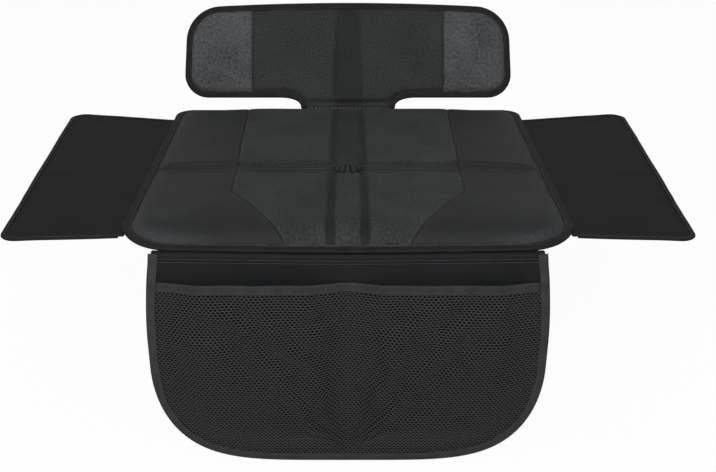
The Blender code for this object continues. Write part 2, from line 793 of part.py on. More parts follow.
def net_faces(outline, lines, holes):
    """Triangles between the outline and the holes, with an edge along each line."""
    flat, edges = [], []
    for loop in [outline] + holes:
        edges += [(len(flat) + i, len(flat) + (i + 1) % len(loop)) for i in range(len(loop))]
        flat += [Vector(point) for point in loop]
    for line in lines:
        edges += [(len(flat) + i, len(flat) + i + 1) for i in range(len(line) - 1)]
        flat += [Vector(point) for point in line]
    rim = list(range(len(outline)))
    points, _, faces, *_ = delaunay_2d_cdt(flat, edges, [rim], 1, GAP / 10)
    centres = [sum((Vector(p) for p in hole), Vector((0, 0))) / len(hole) for hole in holes]
    within = (NET_PITCH - NET_STRAND) / 2

    def in_hole(face):
        middle = sum((points[i] for i in face), Vector((0, 0))) / len(face)
        return any((middle - centre).length < within for centre in centres)

    return points, [list(face) for face in faces if not in_hole(face)]


def make_pocket_nets():
    """A net for each pocket: a sheet with holes, bowed out, and sewn down at the middle."""
    points, kept = net_faces(*net_lines(), net_holes())
    count = len(points)
    skin = kept + [[i + count for i in reversed(face)] for face in kept]
    used = {pair for face in kept for pair in zip(face, face[1:] + face[:1])}
    skin += [[j, i, i + count, j + count] for i, j in sorted(used) if (j, i) not in used]
    for side, sign in (("left", -1), ("right", 1)):
        solid = []
        for thickness in (0, NET):
            for x, height in points:
                out = net_standoff() + pocket_bulge(x, -height) + thickness
                solid.append(on_flap(sign * x, -height, out))
        add_solid(side + "_pocket_net", solid, skin, NET_BLACK, 0.9)


def make_pocket_hem():
    """A tape folded over the net's top edge, from one side of the flap to the other."""
    across = [mouth_stations()[0] - GAP] + mouth_stations()[1:-1]
    across = across + [0] + [-x for x in reversed(across)]
    path = [(x, net_standoff() + pocket_bulge(x, NET_TOP) + NET / 2) for x in across]
    section = tape_section(HEM_HEIGHT, NET + 2 * GAP)
    middle = NET / 2 + GAP + TAPE

    def fold(point, inward, depth, up):
        x = point[0] + inward[0] * (up - middle)
        out = point[1] + inward[1] * (up - middle)
        return on_flap(x, NET_TOP - TAPE_INSET + depth, out)

    return sweep("pocket_hem", path, section, fold, TAPE_GREY)


def main():
    clear_scene()
    make_pad_covers()
    make_pad_foam()
    make_pad_base()
    make_pad_binding()
    make_button()
    for side, sign in (("left", -1), ("right", 1)):
        make_wing(side, sign)
    make_back_rear_sheet()
    make_back_panels()
    make_back_binding()
    make_flap_panel()
    make_flap_binding()
    make_pocket_nets()
    make_pocket_hem()


main()
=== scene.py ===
# %% [markdown]
# # A padded mat for a car's seat
#
# The mat lies on the seat under a child seat. A domed pad covers the cushion, a low panel
# stands against the backrest, a thin wing lies on each side, and a flap with two net pockets
# hangs down in front. The CAD model gives every place and size. Here each piece of cloth is
# made again with its weave, its seams and its thread.

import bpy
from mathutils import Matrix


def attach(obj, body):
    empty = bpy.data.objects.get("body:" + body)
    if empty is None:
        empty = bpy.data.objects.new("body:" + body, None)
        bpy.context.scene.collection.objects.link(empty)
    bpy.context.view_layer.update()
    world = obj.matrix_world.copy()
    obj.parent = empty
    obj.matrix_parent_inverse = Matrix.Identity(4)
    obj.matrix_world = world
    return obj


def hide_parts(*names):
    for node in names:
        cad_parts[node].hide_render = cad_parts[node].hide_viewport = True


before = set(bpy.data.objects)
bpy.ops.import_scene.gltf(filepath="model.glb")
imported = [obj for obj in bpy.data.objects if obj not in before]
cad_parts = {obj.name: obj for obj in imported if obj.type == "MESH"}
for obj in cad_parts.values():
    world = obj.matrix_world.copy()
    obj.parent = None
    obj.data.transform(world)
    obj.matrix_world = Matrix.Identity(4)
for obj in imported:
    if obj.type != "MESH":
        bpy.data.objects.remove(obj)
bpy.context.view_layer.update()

# %% Blender and the numbers
from math import cos, pi, radians, sin

import bpy
import numpy as np
from mathutils import Vector

# %% [markdown]
# ## The camera
#
# The photograph looks down at the mat by 25 degrees, a little over a metre away. The camera
# comes first, because each piece is then judged through it. The mat stands slightly left of
# the picture's middle, so the view is shifted by that share of its width.

# %% Camera
bpy.ops.object.select_all(action="DESELECT")
bpy.ops.object.camera_add(location=(0, -1.0645, 0.406), rotation=(radians(65), 0, 0))
camera = bpy.context.object
camera.data.sensor_width = 36
camera.data.lens = 46.26
camera.data.shift_x = 10 / 716
bpy.context.scene.camera = camera
print("Camera", round(camera.data.lens, 1), "mm lens")

# %% [markdown]
# ## The sizes
#
# These are the CAD model's sizes, in metres. A few follow the photograph more closely than
# the plain solids do: the depth of the grooves, the droop of the pad's front edge, the size
# of the button, and the tape round the upright panel. The layers that are sewn together at
# the pad's rim lie at fixed levels, from the seat upwards.

# %% Sizes of the pad
CLOTH, TAPE, GAP = 0.0010, 0.0005, 0.0003
PAD_FRONT_HALF, PAD_BACK_HALF, PAD_END = 0.2385, 0.2470, 0.2295
PAD_FRONT_RADIUS, PAD_BACK_RADIUS = 0.062, 0.024
PAD_HEIGHT, PAD_TAPE, EDGE_CHANNEL, EDGE_ROLL = 0.021, 0.0095, 0.003, 0.024
SIDE_SLOPE, FRONT_SLOPE, BACK_SLOPE = 0.050, 0.070, 0.018
SEAM_TURN, SEAM_BACK_X, SEAM_FRONT_X = (0.128, -0.1205), 0.142, 0.057
SEAM_DIP, STITCH_ASIDE = 0.0011, 0.0045
HIP_Y, GROOVE_X, GROOVE_DEPTH, STRIP_DEPTH = -0.1445, 0.018, 0.0052, 0.0022
GROOVE_FLOOR_HALF, GROOVE_WALL = 0.0032, 0.0030
FOLD_Y, FOLD_WIDTH, FOLD_DEPTH, QUILT_DEPTH = -0.043, 0.038, 0.0045, 0.0006
QUILT_LINES = (-0.0155, -0.005, 0.005, 0.0155)
FRONT_DROOP, DROOP_LENGTH = 0.0055, 0.0445
BUTTON_RADIUS, BUTTON_PLEATS = 0.0165, 12
WING_LEVEL = TAPE + GAP
PAD_TAPE_LEVEL = WING_LEVEL + CLOTH + GAP
BASE_LEVEL = PAD_TAPE_LEVEL + TAPE + GAP
COVER_LEVEL = BASE_LEVEL + CLOTH + GAP

# %% Sizes of the wings
WING_FRONT, WING_BACK = (0.361, -0.2105), (0.399, 0.2235)
WING_ROOT_FRONT_Y, WING_ROOT_BACK_Y = -0.2005, 0.1925
WING_RADIUS, WING_TAPE, WING_TUCK = 0.018, 0.0055, 0.0085

# %% Sizes of the panel against the backrest
LEAN = radians(25)
BACK_HALF, BACK_TAPER, BACK_BOTTOM, BACK_TOP, BACK_CROWN = 0.238, 0.04, 0.019, 0.153, 0.0048
BACK_LOW_RADIUS, BACK_HIGH_RADIUS = 0.034, 0.052
NECK_HALF, NECK_FILLET, NECK_BEND, NECK_START = 0.06875, (0.0285, 0.0125), 0.003, 0.0035
NECK_TUCK = 0.011
BACK_PAD, BACK_TAPE, BACK_ROLL, BACK_SEAM_X = 0.006, 0.0095, 0.008, 0.139

# %% Sizes of the flap and its pockets
FLAP_TOP_HALF, FLAP_HALF, FLAP_SHOULDER = 0.202, 0.211, 0.105
FLAP_STRAIGHT, FLAP_DROP, FLAP_ROUNDNESS, FLAP_BEND = 0.135, 0.256, 4.7, 0.0025
FLAP_LEAN, FLAP_TUCK, FLAP_TAPE_TUCK = 0.010, 0.011, 0.002
FLAP_TAPE, NET_TOP, HEM_HEIGHT = 0.010, 0.033, 0.010
MOUTH_DEPTH, POCKET_DEPTH, POCKET_ROLL = 0.0075, 0.012, 0.045
NET = 0.0008

# %% [markdown]
# ## Working in numbers
#
# Cloth is a grid of threads, so each sheet starts as Blender's own grid. Its points are then
# laid by a rule, all at once with NumPy, because a sheet has tens of thousands of them. The
# flat place of each point, in metres, is kept as the sheet's UV map, so that the weave
# follows the cloth wherever it bends.


# %% Small rules for curves
def smooth(value):
    t = np.clip(value, 0.0, 1.0)
    return t * t * (3 - 2 * t)


def between(start, end, t):
    return start + (end - start) * t


def rolled_rise(share):
    """A quarter of a circle, steep at its start and level at its end."""
    return np.sqrt(np.maximum(0.0, 1 - (1 - np.clip(share, 0.0, 1.0)) ** 2))


def bell(distance, width):
    return np.exp(-((distance / width) ** 2))


def ripple(a, b, size, seed, waves=14):
    """Soft random waves of about that size, the same on every run."""
    chance = np.random.default_rng(seed)
    total = 0
    for turn, scale, phase in chance.uniform((0, 0.6, 0), (pi, 1.6, 2 * pi), (waves, 3)):
        along = a * cos(turn) + b * sin(turn)
        total = total + np.sin(2 * pi * along * scale / size + phase)
    return total / (waves / 2) ** 0.5


# %% A new sheet, and laying it
def new_sheet(name, columns, rows):
    bpy.ops.object.select_all(action="DESELECT")
    bpy.ops.mesh.primitive_grid_add(x_subdivisions=columns, y_subdivisions=rows, size=1)
    sheet = bpy.context.object
    sheet.name = sheet.data.name = name
    return sheet


def make_active(piece):
    bpy.ops.object.select_all(action="DESELECT")
    piece.select_set(True)
    bpy.context.view_layer.objects.active = piece


def points_of(piece):
    points = np.empty(3 * len(piece.data.vertices))
    piece.data.vertices.foreach_get("co", points)
    return points.reshape(-1, 3)


def put_points(piece, points):
    piece.data.vertices.foreach_set("co", np.ascontiguousarray(points, dtype=float).ravel())
    piece.data.update()


def keep_flat_places(piece, flat):
    corners = np.empty(len(piece.data.loops), dtype=int)
    piece.data.loops.foreach_get("vertex_index", corners)
    piece.data.uv_layers.active.data.foreach_set("uv", flat[corners].ravel())


def stack(x, y, z):
    return np.stack(np.broadcast_arrays(x, y, z), axis=1).astype(float)


def paint_shade_and_sheen(piece, share):
    """Painted shade: the cloth's colour is darkened by this share, and lightened below 0 as a painted
    sheen.
    """
    mask = piece.data.attributes.new("painted_shade_and_sheen", "FLOAT", "POINT")
    mask.data.foreach_set("value", np.asarray(share, dtype=float))


# %% Cutting a sheet to its outline
def inside_by(flat, outline):
    """How far each point lies inside a closed outline; less than 0 is outside."""
    nearest = np.full(len(flat), 1e9)
    inside = np.zeros(len(flat), dtype=bool)
    for start, end in zip(outline, np.roll(outline, -1, axis=0)):
        along, away = end - start, flat - start
        t = np.clip(away @ along / max(along @ along, 1e-12), 0, 1)
        nearest = np.minimum(nearest, np.linalg.norm(away - t[:, None] * along, axis=1))
        if start[1] != end[1]:
            level = (start[1] > flat[:, 1]) != (end[1] > flat[:, 1])
            inside ^= level & (away[:, 0] < along[0] * away[:, 1] / along[1])
    return np.where(inside, nearest, -nearest)


def cut_away(piece, unwanted):
    """Delete the points that are marked."""
    bpy.ops.object.mode_set(mode="EDIT")
    bpy.ops.mesh.select_all(action="DESELECT")
    bpy.ops.object.mode_set(mode="OBJECT")
    piece.data.vertices.foreach_set("select", unwanted)
    bpy.ops.object.mode_set(mode="EDIT")
    bpy.ops.mesh.select_mode(type="VERT")
    bpy.ops.mesh.delete(type="VERT")
    bpy.ops.object.mode_set(mode="OBJECT")


def cut_sheet(name, outline, pitch=0.003, allowance=0.001, low_x=-9.0, high_x=9.0):
    """A flat sheet over an outline, trimmed that far inside it, and its flat places."""
    low, high = outline.min(axis=0), outline.max(axis=0)
    low[0], high[0] = max(low[0], low_x), min(high[0], high_x)
    columns, rows = [int(np.ceil(size / pitch)) for size in high - low]
    sheet = new_sheet(name, columns, rows)
    flat = low + (points_of(sheet)[:, :2] + 0.5) * (high - low)
    put_points(sheet, stack(flat[:, 0], flat[:, 1], 0))
    cut_away(sheet, inside_by(flat, outline) < allowance)
    return sheet, points_of(sheet)[:, :2]


def finish_sheet(piece, points, flat, thickness=None):
    """Lay the sheet, keep its flat places, smooth it, and give it the cloth's thickness."""
    put_points(piece, points)
    keep_flat_places(piece, flat)
    make_active(piece)
    bpy.ops.object.shade_smooth()
    if thickness:
        wall = piece.modifiers.new("cloth thickness", "SOLIDIFY")
        wall.thickness, wall.offset = thickness, -1
        bpy.ops.object.modifier_apply(modifier=wall.name)


def dress(piece, material, rests_in, *nodes):
    """Give a piece its finish, attach it to the root body, and hide the solids that it stands for. What it
    is made of, rests_in, is not used.
    """
    piece.data.materials.append(material)
    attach(piece, "root")
    if nodes:
        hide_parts(*nodes)


# %% Even steps along a line
def evened(line, step, closed=False):
    """Points a step apart along a line of any number of dimensions."""
    line = np.asarray(line, dtype=float)
    if closed:
        line = np.vstack([line, line[:1]])
    lengths = np.r_[0, np.cumsum(np.linalg.norm(np.diff(line, axis=0), axis=1))]
    count = max(int(round(lengths[-1] / step)), 2)
    at = np.linspace(0, lengths[-1], count + 1)[: count if closed else count + 1]
    return np.stack([np.interp(at, lengths, line[:, k]) for k in range(line.shape[1])], axis=1)


def inward(path, closed):
    """Unit steps to the left of a flat path."""
    if closed:
        along = np.roll(path, -1, axis=0) - np.roll(path, 1, axis=0)
    else:
        along = np.gradient(path, axis=0)
    left = np.stack([-along[:, 1], along[:, 0]], axis=1)
    return left / np.linalg.norm(left, axis=1)[:, None]


# %% [markdown]
# ## The cloths
#
# Everything is black or near it, so the finishes differ by their weave and sheen more than
# by their colour. The side pieces of the pad and of the upright panel are one cloth in two
# copies: the pad's copy is darker, as painted shade, and the upright panel's copy is lighter,
# a dark grey, as a painted highlight. The pattern of the threads is one node group, used by
# each cloth with its own thread size. It puts out a height for the bump and a mask of the gaps.


# %% Node helpers
def node(tree, kind, settings=None, **inputs):
    """Add a node. An input goes by its label, or by its number as i0, i1 and so on."""
    made = tree.nodes.new(kind)
    for name, value in (settings or {}).items():
        setattr(made, name, value)
    for name, value in inputs.items():
        socket = made.inputs[int(name[1:])] if name[0] == "i" and name[1:].isdigit() else made.inputs[name]
        if isinstance(value, bpy.types.NodeSocket):
            tree.links.new(value, socket)
        else:
            socket.default_value = value
    return made


def new_material(name):
    material = bpy.data.materials.new(name)
    material.use_nodes = True
    return material, material.node_tree, material.node_tree.nodes["Principled BSDF"]


def maths(tree, operation, first, second=0.0, third=0.0):
    made = node(tree, "ShaderNodeMath", {"operation": operation}, i0=first, i1=second, i2=third)
    return made.outputs[0]


def new_group(name, inputs, outputs):
    tree = bpy.data.node_groups.new(name, "ShaderNodeTree")
    for label, kind in inputs:
        tree.interface.new_socket(label, in_out="INPUT", socket_type="NodeSocket" + kind)
    for label, kind in outputs:
        tree.interface.new_socket(label, in_out="OUTPUT", socket_type="NodeSocket" + kind)
    return tree, tree.nodes.new("NodeGroupInput").outputs, tree.nodes.new("NodeGroupOutput").inputs


# %% Plain weave
weave, given, put = new_group(
    "plain weave", [("Place", "Vector"), ("Thread", "Float")], [("Height", "Float"), ("Gap", "Float")]
)
scaled = node(weave, "ShaderNodeVectorMath", {"operation": "SCALE"}, i0=given["Place"])
weave.links.new(maths(weave, "DIVIDE", 1.0, given["Thread"]), scaled.inputs["Scale"])
across, along, _ = node(weave, "ShaderNodeSeparateXYZ", i0=scaled.outputs[0]).outputs
ridges = [
    maths(weave, "SINE", maths(weave, "MULTIPLY", maths(weave, "FRACT", way), pi))
    for way in (across, along)
]
square = maths(weave, "ADD", maths(weave, "FLOOR", across), maths(weave, "FLOOR", along))
over = maths(weave, "FLOORED_MODULO", square, 2.0)
warp = maths(weave, "MULTIPLY", ridges[0], maths(weave, "MULTIPLY_ADD", ridges[1], 0.5, 0.5))
weft = maths(weave, "MULTIPLY", ridges[1], maths(weave, "MULTIPLY_ADD", ridges[0], 0.5, 0.5))
height = node(weave, "ShaderNodeMix", {"data_type": "FLOAT"}, i0=over, i2=warp, i3=weft).outputs[0]
weave.links.new(height, put["Height"])
weave.links.new(maths(weave, "SUBTRACT", 1.0, maths(weave, "MULTIPLY", height, 2.5)), put["Gap"])
print("Node group:", weave.name)


# %% A woven cloth
def woven(name, dark, light, thread, roughness, sheen, gloss, bump=0.25):
    """Two near colours in patches a hand wide, a speckle of a few threads, and dark gaps."""
    material, tree, shader = new_material(name)
    place = node(tree, "ShaderNodeUVMap").outputs[0]
    threads = node(tree, "ShaderNodeGroup", {"node_tree": weave}, Place=place, Thread=thread)
    patches = node(tree, "ShaderNodeTexNoise", Vector=place, Scale=14.0, Detail=3.0, Roughness=0.6)
    speckle = node(tree, "ShaderNodeTexNoise", Vector=place, Scale=0.35 / thread, Detail=2.0)
    patchy = maths(tree, "MULTIPLY", patches.outputs[0], 0.6)
    mixed = maths(tree, "MULTIPLY_ADD", speckle.outputs[0], 0.9, patchy)
    shade = node(tree, "ShaderNodeMapRange", i0=mixed, i1=0.5, i2=1.0).outputs[0]
    colour = node(tree, "ShaderNodeMix", {"data_type": "RGBA"}, i0=shade, i6=(*dark, 1), i7=(*light, 1))
    gap = node(tree, "ShaderNodeMapRange", i0=threads.outputs["Gap"], i1=0.0, i2=1.0, i3=1.0, i4=0.45)
    final = node(tree, "ShaderNodeVectorMath", {"operation": "SCALE"}, i0=colour.outputs[2])
    # Painted shade and sheen: the attribute darkens the colour above 0 and lightens it below 0.
    painted_shade_and_sheen = node(tree, "ShaderNodeAttribute", {"attribute_name": "painted_shade_and_sheen"}).outputs["Fac"]
    kept = maths(tree, "SUBTRACT", 1.0, maths(tree, "MULTIPLY", painted_shade_and_sheen, 0.55))
    tree.links.new(maths(tree, "MULTIPLY", gap.outputs[0], kept), final.inputs["Scale"])
    relief = node(
        tree, "ShaderNodeBump", Strength=bump, Distance=thread * 0.35, Height=threads.outputs["Height"]
    )
    rough = node(tree, "ShaderNodeMapRange", i0=patches.outputs[0], i1=0.3, i2=0.7)
    rough.inputs[3].default_value = roughness - 0.06
    rough.inputs[4].default_value = roughness + 0.06
    tree.links.new(final.outputs[0], shader.inputs["Base Color"])
    tree.links.new(rough.outputs[0], shader.inputs["Roughness"])
    tree.links.new(relief.outputs[0], shader.inputs["Normal"])
    shader.inputs["Sheen Weight"].default_value = sheen
    shader.inputs["Sheen Roughness"].default_value = 0.45
    shader.inputs["Specular IOR Level"].default_value = gloss
    return material


oxford = woven(
    "oxford cloth", (0.014, 0.016, 0.017), (0.058, 0.063, 0.064),
    thread=0.0009, roughness=0.75, sheen=0.05, gloss=0.3,
)
# The side cloth on the pad, darkened as painted shade.
side_cloth = woven(
    "side cloth", (0.003, 0.004, 0.005), (0.016, 0.018, 0.019),
    thread=0.0011, roughness=0.55, sheen=0.03, gloss=0.55, bump=0.7,
)
# The same side cloth on the upright panel, a lighter grey as a painted highlight.
lit_side_cloth = woven(
    "side cloth with painted highlight", (0.034, 0.037, 0.040), (0.150, 0.160, 0.168),
    thread=0.0013, roughness=0.6, sheen=0.04, gloss=0.4, bump=0.7,
)
lining = woven(
    "lining cloth", (0.004, 0.005, 0.006), (0.017, 0.018, 0.020),
    thread=0.0007, roughness=0.72, sheen=0.02, gloss=0.25,
)
print("Cloths:", ", ".join(cloth.name for cloth in (oxford, side_cloth, lit_side_cloth, lining)))

# %% [markdown]
# ## The tape
#
# Each edge is bound with a narrow ribbon, folded over it and sewn through. Such a ribbon has
# fine ribs across it. They are a wave along the tape's own UV map.


# %% Binding tape
def ribbed(name, dark, light, sheen=0.04, gloss=0.5, rib=0.0016):
    material, tree, shader = new_material(name)
    place = node(tree, "ShaderNodeUVMap").outputs[0]
    along, across, _ = node(tree, "ShaderNodeSeparateXYZ", i0=place).outputs
    wave = maths(tree, "SINE", maths(tree, "MULTIPLY", along, 2 * pi / rib))
    yarn = maths(tree, "SINE", maths(tree, "MULTIPLY", across, 2 * pi / (rib * 0.45)))
    height = maths(tree, "MULTIPLY_ADD", yarn, 0.25, wave)
    patches = node(tree, "ShaderNodeTexNoise", Vector=place, Scale=60.0, Detail=3.0).outputs[0]
    shade = maths(tree, "MULTIPLY_ADD", wave, 0.22, patches)
    colour = node(tree, "ShaderNodeMix", {"data_type": "RGBA"}, i0=shade, i6=(*dark, 1), i7=(*light, 1))
    relief = node(tree, "ShaderNodeBump", Strength=0.35, Distance=rib * 0.3, Height=height)
    tree.links.new(colour.outputs[2], shader.inputs["Base Color"])
    tree.links.new(relief.outputs[0], shader.inputs["Normal"])
    shader.inputs["Roughness"].default_value = 0.62
    shader.inputs["Sheen Weight"].default_value = sheen
    shader.inputs["Specular IOR Level"].default_value = gloss
    return material


# One tape in two tones: the darker copy, on the pad, the wings and the upright panel, is darkened as
# painted shade; the lighter copy is on the flap and the pocket hem.
binding_tape = ribbed("binding tape", (0.006, 0.006, 0.006), (0.048, 0.047, 0.045))
shaded_tape = ribbed("tape with painted shade", (0.003,) * 3, (0.022,) * 3, sheen=0.02, gloss=0.25)
print("Tapes:", binding_tape.name, "and", shaded_tape.name)


# %% Plain finishes: thread, net yarn
def plain(name, dark, light, scale, roughness, sheen=0.0):
    material, tree, shader = new_material(name)
    place = node(tree, "ShaderNodeTexCoord").outputs["Object"]
    patches = node(tree, "ShaderNodeTexNoise", Vector=place, Scale=scale, Detail=2.0).outputs[0]
    colour = node(tree, "ShaderNodeMix", {"data_type": "RGBA"}, i0=patches, i6=(*dark, 1), i7=(*light, 1))
    relief = node(tree, "ShaderNodeBump", Strength=0.3, Distance=0.0002, Height=patches)
    tree.links.new(colour.outputs[2], shader.inputs["Base Color"])
    tree.links.new(relief.outputs[0], shader.inputs["Normal"])
    shader.inputs["Roughness"].default_value = roughness
    shader.inputs["Sheen Weight"].default_value = sheen
    return material


thread = plain(
    "sewing thread", (0.055, 0.053, 0.050), (0.095, 0.092, 0.088), scale=900.0, roughness=0.55
)
net_yarn = plain(
    "net yarn", (0.020, 0.020, 0.022), (0.050, 0.050, 0.053), scale=500.0, roughness=0.6, sheen=0.05
)

# %% [markdown]
# ## Thread
#
# A line of stitches is what makes a sewn piece look sewn. One stitch is modelled, a little
# round-ended bead of thread, and copied along each seam. Each line is given twice, as points
# on the cloth and as the same points lifted off it, which shows the stitches which way is up.

# %% One stitch, and a line of them
bpy.ops.object.select_all(action="DESELECT")
bpy.ops.mesh.primitive_uv_sphere_add(segments=6, ring_count=4, radius=1)
one_stitch = bpy.context.object
STITCH = points_of(one_stitch)
STITCH_FACES = [list(face.vertices) for face in one_stitch.data.polygons]
bpy.data.objects.remove(one_stitch, do_unlink=True)


def sew(name, lines, rests_in, length=0.0026, step=0.0037, thick=0.0003, wander=0.00008):
    """Copy the stitch along each line of (points, lifted points)."""
    points, faces = [], []
    chance = np.random.default_rng(len(name))
    for line, lifted in lines:
        both = evened(np.hstack([line, lifted]), step)
        here, up = both[:, :3], both[:, 3:] - both[:, :3]
        up /= np.linalg.norm(up, axis=1)[:, None]
        ahead = np.gradient(here, axis=0)
        ahead /= np.linalg.norm(ahead, axis=1)[:, None]
        aside = np.cross(up, ahead)
        here = here + aside * chance.normal(0, wander, (len(here), 1))
        ahead = ahead + aside * chance.normal(0, wander / thick / 4, (len(here), 1))
        for spot, a, b, c in zip(here, ahead * length / 2, aside * thick, up * thick):
            first = len(points) * len(STITCH)
            points.append(spot + STITCH[:, :1] * a + STITCH[:, 1:2] * b + STITCH[:, 2:] * c)
            faces += [[first + i for i in face] for face in STITCH_FACES]
    mesh = bpy.data.meshes.new(name)
    mesh.from_pydata(np.vstack(points), [], faces)
    seam = bpy.data.objects.new(name, mesh)
    bpy.context.scene.collection.objects.link(seam)
    mesh.shade_smooth()
    dress(seam, thread, rests_in)
    print(name, len(points), "stitches")


# %% [markdown]
# ## The pad
#
# The pad is one moulded slab, domed, with rolled edges, under three covers. The covers meet
# at two seams that run straight from the back and then turn in to the front corners. Two
# channels are pressed down its middle, and a flat quilted band crosses it where the mat
# folds for storage. The height at any place is one rule, and every cover is laid by it.


# %% The pad's outline
def pad_half(y):
    return between(PAD_FRONT_HALF, PAD_BACK_HALF, (y + PAD_END) / (2 * PAD_END))


def pad_side(inset=0.0, steps=24):
    """Right side of the outline, drawn in by inset, from the front edge to the back."""
    arcs = []
    for end, radius, start in ((-1, PAD_FRONT_RADIUS, -pi / 2), (1, PAD_BACK_RADIUS, 0)):
        y = end * (PAD_END - radius)
        turn = start + np.linspace(0, pi / 2, steps)
        x = pad_half(y) - radius + (radius - inset) * np.cos(turn)
        arcs.append(np.stack([x, y + (radius - inset) * np.sin(turn)], axis=1))
    return np.vstack(arcs)


def both_sides(right):
    """Close an outline from its right side, given from the front to the back."""
    return np.vstack([right, right[::-1] * (-1, 1)])


def pad_reach(y, inset):
    side = pad_side(inset)
    return np.interp(y, side[:, 1], side[:, 0])


def edge_distance(x, y):
    """How far a place on the pad lies inside its outline."""
    radius = np.where(y < 0, PAD_FRONT_RADIUS, PAD_BACK_RADIUS)
    from_side, from_end = pad_half(y) - abs(x), PAD_END - abs(y)
    corner = radius - np.hypot(radius - from_side, radius - from_end)
    in_corner = (from_side < radius) & (from_end < radius)
    return np.where(in_corner, corner, np.minimum(from_side, from_end))


def seam_x(y):
    """Half the distance between the two seams."""
    return np.interp(y, (-PAD_END, SEAM_TURN[1], PAD_END), (SEAM_FRONT_X, SEAM_TURN[0], SEAM_BACK_X))


# %% The height of the pad's top
def droop(x, y):
    """The pad's front edge hangs a little over the seat, most at its middle."""
    near_front = smooth((-y - PAD_END + DROOP_LENGTH) / DROOP_LENGTH)
    return FRONT_DROOP * near_front * (1 - 0.5 * smooth(abs(x) / 0.24))


def channels(x):
    """1 in the two channels down the middle, 0 outside them."""
    return 1 - smooth((abs(abs(x) - GROOVE_X) - GROOVE_FLOOR_HALF) / GROOVE_WALL)


def fold_band(y):
    return 1 - smooth((abs(y - FOLD_Y) - FOLD_WIDTH / 2 + 0.002) / 0.005)


def back_strip(x, y):
    """1 between the channels behind the fold, where the pad is thinner."""
    return smooth((GROOVE_X - abs(x)) / 0.004 + 0.5) * smooth((y - FOLD_Y) / 0.02)


def pad_top(x, y):
    aside = abs(x)
    edge = edge_distance(x, y) - PAD_TAPE - EDGE_CHANNEL
    side_drop = SIDE_SLOPE * np.maximum(0, aside - SEAM_TURN[0])
    front_drop = FRONT_SLOPE * np.maximum(0, HIP_Y - y) * smooth((aside - seam_x(y)) / SEAM_FRONT_X + 1)
    crown = PAD_HEIGHT - np.maximum(side_drop, front_drop) - BACK_SLOPE * np.maximum(0, y - FOLD_Y)
    strip = STRIP_DEPTH * back_strip(x, y)
    crown = crown - np.maximum.reduce([GROOVE_DEPTH * channels(x), strip, FOLD_DEPTH * fold_band(y)])
    off_seam = aside - seam_x(y)
    crown = crown - SEAM_DIP * bell(off_seam, 0.0018) - 0.0005 * bell(off_seam - STITCH_ASIDE, 0.0014)
    for line in QUILT_LINES:
        crown = crown - QUILT_DEPTH * bell(y - FOLD_Y - line, 0.0016)
    soft = smooth(edge / 0.03)
    pucker = np.sin(2 * pi * y / 0.011 + 2.2 * ripple(x, y, 0.05, 3))
    crown = crown + 0.00022 * pucker * bell(off_seam, 0.010) * soft
    crown = crown + soft * (0.0004 * ripple(x, y, 0.11, 5) + 0.00012 * ripple(x, y, 0.035, 6))
    from_button = np.hypot(x, y - FOLD_Y)
    gathers = np.cos(BUTTON_PLEATS * np.arctan2(y - FOLD_Y, x)) * bell(from_button - 0.018, 0.009)
    rim = COVER_LEVEL + CLOTH
    rise = (crown + 0.0007 * gathers - rim) * rolled_rise(edge / EDGE_ROLL)
    return rim + rise - droop(x, y)


def pad_painted_shade_and_sheen(x, y):
    """Painted shade in the channels, fold, strip and front facets, and a painted sheen on the sides'
    rolled edge.
    """
    # A painted sheen along the sides' rolled edge, stronger towards the front.
    painted_sheen = bell(edge_distance(x, y) - PAD_TAPE - 0.003, 0.007) * between(1.2, 4.5, smooth(-y / 0.2))
    painted_sheen = painted_sheen * smooth((abs(x) - 0.12) / 0.09)
    # Painted shade on the front corner facets.
    facet_shade = 0.5 * smooth((HIP_Y - y - 0.008) / 0.02) * smooth((abs(x) - seam_x(y)) / 0.004)
    facet_shade = facet_shade * smooth((0.19 - abs(x)) / 0.05)
    return np.maximum.reduce([channels(x), 0.8 * back_strip(x, y), 0.7 * fold_band(y), facet_shade]) - painted_sheen


# %% Three covers on one rule
def pad_cover(name, left_of, right_of, columns, material, nodes, rests_in):
    """A cover between two lines that run from front to back."""
    cover = new_sheet(name, columns, 208)
    u, v = (points_of(cover)[:, :2] + 0.5).T
    y = between(-1, 1, v) * (PAD_END - TAPE - GAP)
    x = between(left_of(y), right_of(y), u)
    finish_sheet(cover, stack(x, y, pad_top(x, y)), np.stack([x, y], axis=1), 0.8 * CLOTH)
    # The covers' colour carries painted shade in the recesses and a painted sheen on the rolled side
    # edges.
    paint_shade_and_sheen(cover, pad_painted_shade_and_sheen(*points_of(cover)[:, :2].T))
    dress(cover, material, rests_in, *nodes)
    print(name, len(cover.data.polygons), "faces")


pad_cover(
    "pad_middle", lambda y: -seam_x(y), seam_x, 129, oxford,
    ["pad_centre_cover", "pad_foam"], "oxford_cloth",
)
pad_cover(
    "pad_left", lambda y: -pad_reach(y, TAPE + GAP), lambda y: -seam_x(y), 48, side_cloth,
    ["pad_left_cover"], "side_cloth",
)
pad_cover(
    "pad_right", seam_x, lambda y: pad_reach(y, TAPE + GAP), 48, side_cloth,
    ["pad_right_cover"], "side_cloth",
)

# %% [markdown]
# ## The tape round each edge
#
# A tape is a long strip folded to a U. Its section is drawn once, with a round fold and a
# dimple where the thread pulls it down, and carried along the edge. The tape is never quite
# straight, so its width and height wander by a few tenths of a millimetre.


